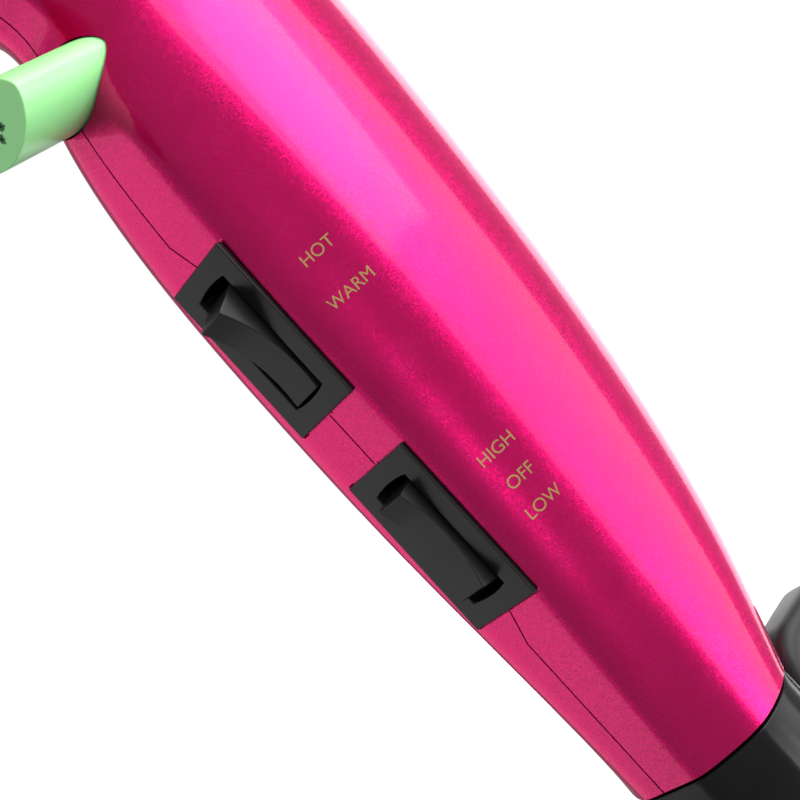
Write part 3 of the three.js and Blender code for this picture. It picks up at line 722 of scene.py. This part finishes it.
# ---------------------------------------------------------------------------
# Switch markings: plain words pad-printed in dull gold on the left shell, each
# letter laid on the lacquer beside the switch it belongs to.
LETTER = 0.00246
gold = printed_ink("gold_ink", (0.19, 0.105, 0.03), (0.30, 0.175, 0.055), 0.15, 0.42)
STRIP = 0.0003
MARKS = (("HOT", 0.0210), ("WARM", 0.0144), ("HIGH", -0.0136), ("OFF", -0.0183), ("LOW", -0.0228))
for word, height in MARKS:
    drop_selection()
    bpy.ops.object.text_add()
    mark = bpy.context.object
    mark.data.body = word
    mark.data.size = LETTER
    mark.data.align_x = "CENTER"
    mark.data.align_y = "CENTER"
    bpy.ops.object.convert(target="MESH")
    mark = bpy.context.object
    mark.name = f"mark_{word.lower()}"
    bpy.ops.object.mode_set(mode="EDIT")
    bpy.ops.mesh.select_all(action="SELECT")
    bpy.ops.mesh.quads_convert_to_tris()
    for i in range(-18, 19):
        bpy.ops.mesh.select_all(action="SELECT")
        bpy.ops.mesh.bisect(plane_co=(i * STRIP, 0, 0), plane_no=(1, 0, 0))
    bpy.ops.object.mode_set(mode="OBJECT")
    near_spot = Vector((FACE_X - 0.005, 0.0142, MID_Z + height))
    spot, up = outer_skin.closest_point_on_mesh(near_spot)[1:3]
    up = Vector((up.x, up.y, 0)).normalized()
    along = Vector((-up.y, up.x, 0))
    stand = Matrix((along, (0, 0, 1), up)).transposed().to_4x4()
    mark.data.transform(Matrix.Translation(spot + up * 0.001) @ stand)
    finish_modifier(mark, "SHRINKWRAP", target=outer_skin, wrap_method="NEAREST_SURFACEPOINT",
                    wrap_mode="ABOVE_SURFACE", offset=0.00004)
    finish_modifier(mark, "SOLIDIFY", thickness=0.00003, offset=-1)
    mark.data.materials.append(gold)
    ride_as(mark, "housing", "brass")

# ---------------------------------------------------------------------------
# Collar at the handle's foot: gloss black moulding whose spigot is held between
# the shells, with a hole below for the inlet bush and one behind for the loop.
FOOT_Z = JOINT_Z - 0.025
INLET_X = FACE_X - 0.0135
LOOP_Z = FOOT_Z + 0.016
HEEL_X = FACE_X - 0.027
foot_level = (-0.0633, 0, 0.0060, 0.0136, 0.0262)
collar = handle_ring("collar", foot_level)
middle = (INLET_X, 0, 0)
bpy.ops.transform.translate(value=(-0.0004, 0, -0.0003))
bpy.ops.mesh.extrude_region_move(TRANSFORM_OT_translate={"value": (0, 0, -0.0004)})
bpy.ops.transform.resize(value=(1.004, 1.008, 1), center_override=middle)
for drop, grow in ((0.008, 0.995), (0.009, 0.985), (0.0045, 0.965), (0.0018, 0.93), (0.0005, 0.88)):
    bpy.ops.mesh.extrude_region_move(TRANSFORM_OT_translate={"value": (0, 0, -drop)})
    bpy.ops.transform.resize(value=(grow, grow, 1), center_override=middle)
bpy.ops.mesh.extrude_region_move()
bpy.ops.transform.resize(value=(0.8, 0.8, 1), center_override=middle)
bpy.ops.mesh.extrude_region_move()
bpy.ops.transform.resize(value=(0.6, 0.6, 1), center_override=middle)
bpy.ops.mesh.edge_face_add()
select_by(collar, lambda e: e.is_boundary, "EDGE")
bpy.ops.mesh.extrude_region_move()
bpy.ops.transform.resize(value=(0.97, 0.95, 1), center_override=middle)
bpy.ops.mesh.extrude_region_move()
bpy.ops.transform.resize(value=(0.86, 0.80, 1), center_override=middle)
bpy.ops.mesh.extrude_region_move(TRANSFORM_OT_translate={"value": (0, 0, 0.0070)})
bpy.ops.mesh.edge_face_add()
bpy.ops.mesh.select_all(action="SELECT")
bpy.ops.mesh.normals_make_consistent(inside=False)
bpy.ops.object.mode_set(mode="OBJECT")
finish_modifier(collar, "SUBSURF", levels=3, render_levels=3)
drop_selection()
bpy.ops.mesh.primitive_cylinder_add(vertices=64, radius=0.0052, depth=0.008,
                                    location=(INLET_X, 0, FOOT_Z + 0.001))
cut_with(collar, settle("bush_hole"))
cut_with(collar, block("stem_hole", (HEEL_X - 0.004, -0.0043, LOOP_Z - 0.0023),
                       (HEEL_X + 0.006, 0.0043, LOOP_Z + 0.0023)))
drop_selection()
collar.select_set(True)
bpy.context.view_layer.objects.active = collar
bpy.ops.object.shade_smooth_by_angle(angle=math.radians(40))
gloss_black = moulded_black("gloss_black", 0.12, 0.000004, 0.25)
collar.data.materials.append(gloss_black)
ride_as(collar, "housing", "black_gloss", "end_cap")

# ---------------------------------------------------------------------------
# Inlet bush: a soft black grommet pressed into the collar's hole, lipped inside
# and out, where the mains lead would leave.
bush = extruded_rings("bush", [
    (-0.003, 0.0034), (-0.003, 0.0062), (-0.0026, 0.0069), (-0.0020, 0.0070), (-0.0004, 0.0069),
    (-0.0003, 0.0050), (0.0043, 0.0050), (0.0044, 0.0063), (0.0058, 0.0064), (0.0060, 0.0060),
    (0.0060, 0.0034)], 64)


def closed_ring(thing):
    """Joins the first and last rings of a wall, and turns its faces outwards."""
    drop_selection()
    thing.select_set(True)
    bpy.context.view_layer.objects.active = thing
    bpy.ops.object.mode_set(mode="EDIT")
    select_by(thing, lambda e: e.is_boundary, "EDGE")
    bpy.ops.mesh.bridge_edge_loops()
    bpy.ops.mesh.select_all(action="SELECT")
    bpy.ops.mesh.normals_make_consistent(inside=False)
    bpy.ops.object.mode_set(mode="OBJECT")


closed_ring(bush)
bush.data.transform(Matrix.Rotation(-math.pi / 2, 4, "Y"))
bush.data.transform(Matrix.Translation((INLET_X, 0, FOOT_Z)))
smooth_edges(bush, 0.0003, 3)


def rubber():
    """Black rubber: a dull shine, with a pebbled skin and a faint bloom."""
    made, shader, place = finish("black_rubber", ior=1.42, sheen_weight=0.05,
                                 sheen_roughness=0.4)
    bloom = place.noise(220, 4, 0.6)
    pebbles = place.node("TexVoronoi", None, {"Vector": place, "Scale": 2600}, 0)
    colour = bloom.mix((0.004, 0.004, 0.0045), (0.012, 0.012, 0.013))
    feed(shader, base_color=colour, roughness=bloom * 0.1 + 0.36,
         normal=pebbles.bump(0.00003, 0.35))
    return made


black_rubber = rubber()
bush.data.materials.append(black_rubber)
ride_as(bush, "housing", "rubber_black", "inlet_bush")

# ---------------------------------------------------------------------------
# Hanging loop: a thick oval of black rubber behind the collar, on a stem whose
# head is trapped inside.
LOOP_X = HEEL_X - 0.0142
drop_selection()
bpy.ops.mesh.primitive_cylinder_add(vertices=64, radius=0.009, depth=0.008,
                                    location=(LOOP_X, 0, LOOP_Z), rotation=(math.pi / 2, 0, 0))
loop = settle("hanging_loop")
for side in (-1, 1):
    bpy.ops.object.mode_set(mode="EDIT")
    select_by(loop, lambda p: side * (p.x - LOOP_X) > 1e-5)
    bpy.ops.transform.translate(value=(side * 0.004, 0, 0))
    bpy.ops.object.mode_set(mode="OBJECT")
bpy.ops.object.mode_set(mode="EDIT")
select_by(loop, lambda f: abs(f.normal.y) > 0.9, "FACE")
bpy.ops.mesh.inset(thickness=0.005, depth=0)
bpy.ops.mesh.delete(type="FACE")
bpy.ops.object.mode_set(mode="OBJECT")
closed_ring(loop)
finish_modifier(loop, "BEVEL", width=0.0023, segments=6, limit_method="ANGLE",
                angle_limit=math.radians(50), use_clamp_overlap=True)
stem = block("stem", (HEEL_X - 0.0022, -0.004, LOOP_Z - 0.002),
             (HEEL_X + 0.005, 0.004, LOOP_Z + 0.002))
finish_modifier(stem, "BEVEL", width=0.0008, segments=3, limit_method="ANGLE",
                angle_limit=math.radians(50))
loop = joined([loop, stem], "hanging_loop")
drop_selection()
loop.select_set(True)
bpy.context.view_layer.objects.active = loop
bpy.ops.object.shade_smooth_by_angle(angle=math.radians(45))
loop.data.materials.append(black_rubber)
ride_as(loop, "housing", "rubber_black", "hang_loop")

# ---------------------------------------------------------------------------
# Outlet: a stepped black ring in the barrel's mouth, and inside it a grille of
# two rings, a hub and eight bars that keeps fingers off the heater.
outlet = extruded_rings("outlet", [
    (-0.026, 0.0255), (-0.001, 0.0255), (0, 0.0268), (0, 0.028), (-0.0137, 0.028),
    (-0.0137, 0.0275), (-0.026, 0.0275)], 96)
closed_ring(outlet)
smooth_edges(outlet, 0.00035, 3)
outlet.data.materials.append(gloss_black)
ride_as(outlet, "housing", "black_gloss", "outlet_ring")

grille_ring = extruded_rings("grille_ring", [(-0.004, 0.0236), (-0.001, 0.0236), (-0.001, 0.0252),
                                             (-0.004, 0.0252)], 96)
closed_ring(grille_ring)
middle_ring = extruded_rings("middle_ring", [(-0.0036, 0.014), (-0.0014, 0.014), (-0.0014, 0.0154),
                                             (-0.0036, 0.0154)], 96)
closed_ring(middle_ring)
drop_selection()
bpy.ops.mesh.primitive_cylinder_add(vertices=64, radius=0.006, depth=0.004, location=(-0.002, 0, 0),
                                    rotation=(0, math.pi / 2, 0))
hub = settle("hub")
bars = [hub, middle_ring]
bar = block("bar", (-0.0036, -0.0007, 0.0055), (-0.0014, 0.0007, 0.0243))
for i in range(8):
    arm = copy_of(bar, f"bar_{i}")
    arm.data.transform(Matrix.Rotation(math.radians(i * 45), 4, "X"))
    bars.append(arm)
bpy.data.objects.remove(bar, do_unlink=True)
grille = joined([grille_ring] + bars, "grille")
smooth_edges(grille, 0.0003, 2)
satin_black = moulded_black("satin_black", 0.36, 0.00002)
grille.data.materials.append(satin_black)
ride_as(grille, "housing", "black_satin", "outlet_grille")

# ---------------------------------------------------------------------------
# Nozzle: a black heat-proof moulding pushed over the outlet ring, narrowing
# from round to a wide flat slot. It turns on the ring.
NOZZLE_WALL = 0.002
BORE = 0.02814
TIP_HALF = (0.033, 0.006)
nozzle_places = (-0.011, -0.0105, -0.004, 0.003, 0.008, 0.014, 0.020, 0.026, 0.032, 0.037, 0.0395,
                 0.040)
drop_selection()
bpy.ops.mesh.primitive_circle_add(vertices=64, radius=1, location=(nozzle_places[0], 0, 0),
                                  rotation=(0, math.pi / 2, 0))
nozzle = settle("nozzle")
bpy.ops.object.mode_set(mode="EDIT")
bpy.ops.mesh.select_all(action="SELECT")
for here, there in zip(nozzle_places, nozzle_places[1:]):
    bpy.ops.mesh.extrude_region_move(TRANSFORM_OT_translate={"value": (there - here, 0, 0)})
bpy.ops.object.mode_set(mode="OBJECT")
for v in nozzle.data.vertices:
    t = min(max((v.co.x - 0.003) / 0.037, 0), 1)
    ease = t * t * (3 - 2 * t)
    squareness = 2 + 1.6 * ease
    round_r = BORE + NOZZLE_WALL
    v.co.y = math.copysign(abs(v.co.y) ** (2 / squareness), v.co.y)
    v.co.z = math.copysign(abs(v.co.z) ** (2 / squareness), v.co.z)
    v.co.y *= round_r + (TIP_HALF[0] - round_r) * ease
    v.co.z *= round_r + (TIP_HALF[1] - round_r) * ease
drop_selection()
nozzle.select_set(True)
bpy.context.view_layer.objects.active = nozzle
bpy.ops.object.mode_set(mode="EDIT")
bpy.ops.mesh.select_all(action="SELECT")
bpy.ops.mesh.normals_make_consistent(inside=False)
bpy.ops.object.mode_set(mode="OBJECT")
if nozzle.data.polygons[0].normal.dot(nozzle.data.polygons[0].center - Vector((-0.011, 0, 0))) < 0:
    nozzle.data.flip_normals()
finish_modifier(nozzle, "SOLIDIFY", thickness=NOZZLE_WALL, offset=-1, use_rim=True)
finish_modifier(nozzle, "SUBSURF", levels=2, render_levels=2)
smooth_edges(nozzle, 0.0003, 2)
nozzle.data.materials.append(satin_black)
ride_as(nozzle, "nozzle", "black_gloss", "concentrator")

# ---------------------------------------------------------------------------
# Intake cover: a black dished cap twisted onto the guard, with twelve slots
# round a plain disc, and its wire filter clipped inside.
COVER_FRONT, COVER_REAR = -0.1723, -0.1893
cover = extruded_rings("cover", [
    (COVER_FRONT, 0.03513), (COVER_FRONT, 0.0375), (-0.1805, 0.0371), (-0.1833, 0.0365),
    (-0.1859, 0.0352), (-0.1875, 0.0337), (-0.1887, 0.0315), (COVER_REAR, 0.0295),
    (COVER_REAR, 0.010)], 96)
bpy.ops.object.mode_set(mode="EDIT")
select_by(cover, lambda p: p.x < COVER_REAR + 1e-5 and p.y ** 2 + p.z ** 2 < 0.011 ** 2)
bpy.ops.mesh.edge_face_add()
bpy.ops.object.mode_set(mode="OBJECT")
lining = extruded_rings("lining", [(COVER_FRONT, 0.03513), (-0.1849, 0.03513), (-0.1871, 0.0285),
                                   (-0.1871, 0.010)], 96)
bpy.ops.object.mode_set(mode="EDIT")
select_by(lining, lambda p: p.x < -0.187 and p.y ** 2 + p.z ** 2 < 0.011 ** 2)
bpy.ops.mesh.edge_face_add()
bpy.ops.object.mode_set(mode="OBJECT")
cover = joined([cover, lining], "cover")
bpy.ops.object.mode_set(mode="EDIT")
bpy.ops.mesh.select_all(action="SELECT")
bpy.ops.mesh.remove_doubles(threshold=1e-6)
bpy.ops.mesh.normals_make_consistent(inside=False)
bpy.ops.object.mode_set(mode="OBJECT")
slot_cuts = []
drop_selection()
SLOT_AT, SLOT_STRETCH = 0.019, 0.0064
bpy.ops.mesh.primitive_cylinder_add(vertices=16, radius=0.0016, depth=0.006,
                                    location=(-0.188, 0, SLOT_AT), rotation=(0, math.pi / 2, 0))
one_slot = settle("one_slot")
for v in one_slot.data.vertices:
    v.co.z += SLOT_STRETCH if v.co.z > SLOT_AT + 1e-6 else -SLOT_STRETCH
for i in range(12):
    cut = copy_of(one_slot, f"slot_{i}")
    cut.data.transform(Matrix.Rotation(math.radians(i * 30), 4, "X"))
    slot_cuts.append(cut)
bpy.data.objects.remove(one_slot, do_unlink=True)
cut_with(cover, joined(slot_cuts, "slots"))
smooth_edges(cover, 0.00025, 2)
cover.data.materials.append(gloss_black)
ride_as(cover, "cover", "black_gloss", "intake_cover")


def woven_wire():
    """Fine woven wire: two crossed sets of ridges, with painted shade in the gaps between them."""
    made, shader, place = finish("woven_wire", metallic=0.9)
    across = place.node("SeparateXYZ", None, {"Vector": place}, 1) * 9000
    upright = place.node("SeparateXYZ", None, {"Vector": place}, 2) * 9000
    weft = place.math("SINE", across)
    warp = place.math("SINE", upright)
    wires = place.math("MAXIMUM", weft, warp).band(-0.2, 0.8)
    tone = place.noise(300, 3, 0.6)
    # painted shade: the gaps between the wires are coloured near black, and the wires a pale grey
    feed(shader, base_color=wires.mix((0.01, 0.01, 0.01), (0.55, 0.55, 0.56)),
         roughness=tone * 0.2 + 0.3, normal=wires.bump(0.00008, 0.8))
    return made


def paint_node(node, material):
    """Gives a carried-over piece its finish."""
    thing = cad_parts[node]
    if thing.data.materials:
        for i in range(len(thing.data.materials)):
            thing.data.materials[i] = material
    else:
        thing.data.materials.append(material)


paint_node("filter_screen", woven_wire())
paint_node("intake_guard", satin_black)

# ---------------------------------------------------------------------------
# Metal inside the body: pins and screws of bright zinc, brass tabs and bearings,
# the motor's ground can and shaft, and the copper-wound armature.


def bare_metal(name, dark, light, rough, streak):
    """Worked metal: lengthways streaks, a little tarnish and a fine tooth."""
    made, shader, place = finish(name, metallic=1.0)
    drawn = place.node("Mapping", None, {"Vector": place, "Scale": (1.0, 14.0, 14.0)})
    streaks = drawn.noise(streak, 3, 0.6)
    tarnish = place.noise(140, 4, 0.65)
    feed(shader, base_color=tarnish.mix(dark, light), roughness=streaks * 0.22 + rough,
         normal=streaks.bump(0.00001, 0.4))
    return made


zinc = bare_metal("bright_zinc", (0.42, 0.43, 0.45), (0.66, 0.67, 0.70), 0.18, 120)
brass = bare_metal("stamped_brass", (0.50, 0.32, 0.09), (0.76, 0.53, 0.19), 0.22, 140)
copper = bare_metal("wound_copper", (0.32, 0.10, 0.03), (0.62, 0.24, 0.08), 0.3, 400)
oxide = bare_metal("oxidised_ribbon", (0.12, 0.10, 0.085), (0.40, 0.36, 0.31), 0.35, 200)
for node in ("heat_pin", "speed_pin", "motor_can", "motor_shaft", "thermostat",
             "shell_screw_1", "shell_screw_2", "shell_screw_3"):
    paint_node(node, zinc)
for node in ("heat_tab_1", "heat_tab_2", "heat_tab_3", "speed_tab_1", "speed_tab_2", "speed_tab_3",
             "motor_bush_rear", "motor_bush_front"):
    paint_node(node, brass)
paint_node("armature", copper)
paint_node("heater_coil_rear", oxide)
paint_node("heater_coil_front", oxide)

# ---------------------------------------------------------------------------
# Plastic, mica and wire inside the body: glass-filled nylon switches, duct and
# fan, pale plunger, bell and fuse, the heater's mica, and four insulated leads.


def grained(name, dark, light, rough, depth, scale, speck=0.0):
    """A moulded or pressed material: cloudy tone, fine grain and scattered specks."""
    made, shader, place = finish(name)
    cloud = place.noise(scale, 4, 0.6)
    grain = place.noise(2200, 3, 0.6)
    tone = cloud * (1 - speck) + grain.band(0.55, 0.7) * speck
    feed(shader, base_color=tone.mix(dark, light), roughness=cloud * 0.16 + rough,
         normal=grain.bump(depth, 0.5))
    return made


finishes = (
    (("heat_switch", "speed_switch", "cool_switch", "fan_duct", "fan"),
     grained("filled_nylon", (0.010, 0.010, 0.012), (0.035, 0.035, 0.04), 0.42, 0.00003, 200, 0.2)),
    (("cool_plunger", "motor_bell", "thermal_fuse"),
     grained("pale_nylon", (0.62, 0.59, 0.50), (0.82, 0.80, 0.72), 0.35, 0.00002, 160, 0.1)),
    (("motor_magnet",),
     grained("ground_ferrite", (0.025, 0.025, 0.03), (0.09, 0.09, 0.10), 0.6, 0.00005, 300, 0.4)),
    (("rectifier_board",),
     grained("printed_board", (0.01, 0.10, 0.03), (0.03, 0.22, 0.08), 0.25, 0.00002, 400, 0.3)),
    (("heater_tube", "heater_board_flat", "heater_board_upright"),
     grained("pressed_mica", (0.32, 0.25, 0.14), (0.62, 0.54, 0.40), 0.4, 0.00006, 350, 0.5)),
    (("wire_live",),
     grained("brown_lead", (0.06, 0.022, 0.008), (0.12, 0.05, 0.02), 0.35, 0.00001, 150)),
    (("wire_neutral",),
     grained("blue_lead", (0.01, 0.045, 0.22), (0.03, 0.09, 0.36), 0.35, 0.00001, 150)),
    (("wire_motor",),
     grained("red_lead", (0.35, 0.012, 0.01), (0.55, 0.03, 0.02), 0.35, 0.00001, 150)),
    (("wire_heat",),
     grained("black_lead", (0.006, 0.006, 0.007), (0.02, 0.02, 0.022), 0.35, 0.00001, 150)),
)
for nodes, material in finishes:
    for node in nodes:
        paint_node(node, material)

bpy.data.objects.remove(outer_skin, do_unlink=True)
